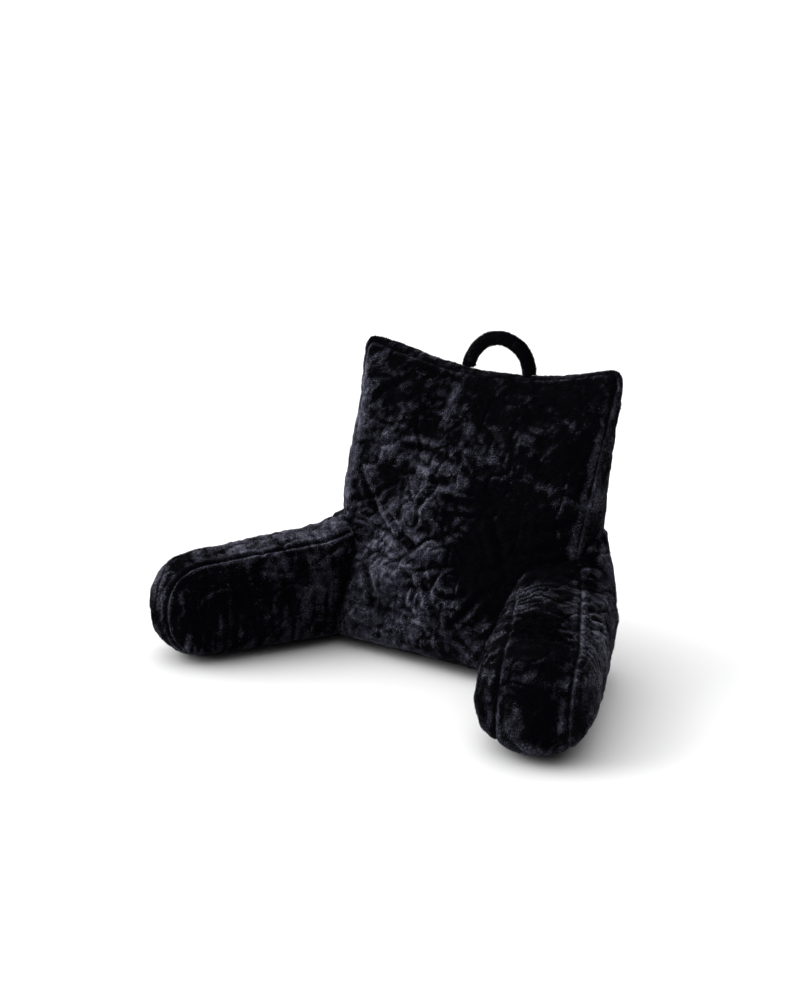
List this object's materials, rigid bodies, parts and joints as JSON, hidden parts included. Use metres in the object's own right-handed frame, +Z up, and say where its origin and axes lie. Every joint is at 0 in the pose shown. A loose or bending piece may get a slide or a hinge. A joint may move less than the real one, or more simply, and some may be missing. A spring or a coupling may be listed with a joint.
{
  "type": "reading pillow with arms",
  "caption": "Plush backrest pillow with a leaning crowned back, splayed stuffed arms and a top carry loop, for sitting up to read.",
  "frame": {"origin": "on the floor, on the flat resting face under the back cushion, in the vertical middle plane", "axes": "+Z up; -Y is the front, the way the sitter faces; +X points to the right as seen from the front"},
  "size_m": [0.8253, 0.4683, 0.516],
  "materials": {
    "plush": "crushed long-pile plush, matt with soft bright patches",
    "plush_loop": "crushed plush sleeve, matt"
  },
  "bodies": {
    "root": {"back_cushion": "plush", "arm_left": "plush", "arm_right": "plush", "carry_loop": "plush_loop"}
  },
  "joints": []
}
